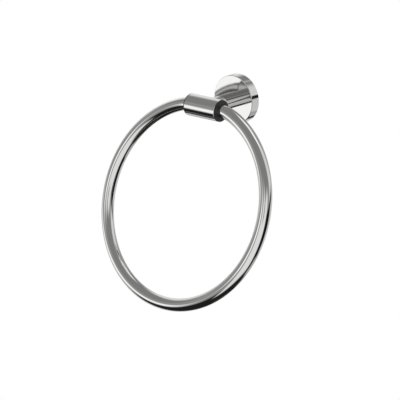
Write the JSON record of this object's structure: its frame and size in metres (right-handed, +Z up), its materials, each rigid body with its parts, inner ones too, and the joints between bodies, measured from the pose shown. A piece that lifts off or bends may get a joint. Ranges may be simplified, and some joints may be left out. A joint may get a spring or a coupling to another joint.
{
  "type": "towel ring",
  "caption": "Bright round towel ring that swings in black bushes in a cross sleeve, carried by a short post on a round wall rosette with a hidden screw bracket.",
  "frame": {"origin": "middle of the rosette on the face of the wall, midway between the bracket's two screw holes", "axes": "+X to the right as one faces the wall, +Y into the wall, +Z up"},
  "size_m": [0.2, 0.1179, 0.2031],
  "materials": {
    "bright_chrome": "polished",
    "black_bush": "matte",
    "zinc_plate": "satin",
    "screw_steel": "satin"
  },
  "bodies": {
    "wall_holder": {"wall_bracket": "zinc_plate", "rosette": "bright_chrome", "grub_screw": "screw_steel", "post_screw": "screw_steel", "lock_washer": "screw_steel", "holder": "bright_chrome"},
    "swinging_ring": {"ring": "bright_chrome", "left_bush": "black_bush", "right_bush": "black_bush"}
  },
  "joints": [
    {"name": "ring_swing", "type": "hinge", "parent": "wall_holder", "child": "swinging_ring", "pos_m": [0, -0.0487, 0], "axis": [-1, 0, 0], "range_deg": [-33, 173]}
  ]
}
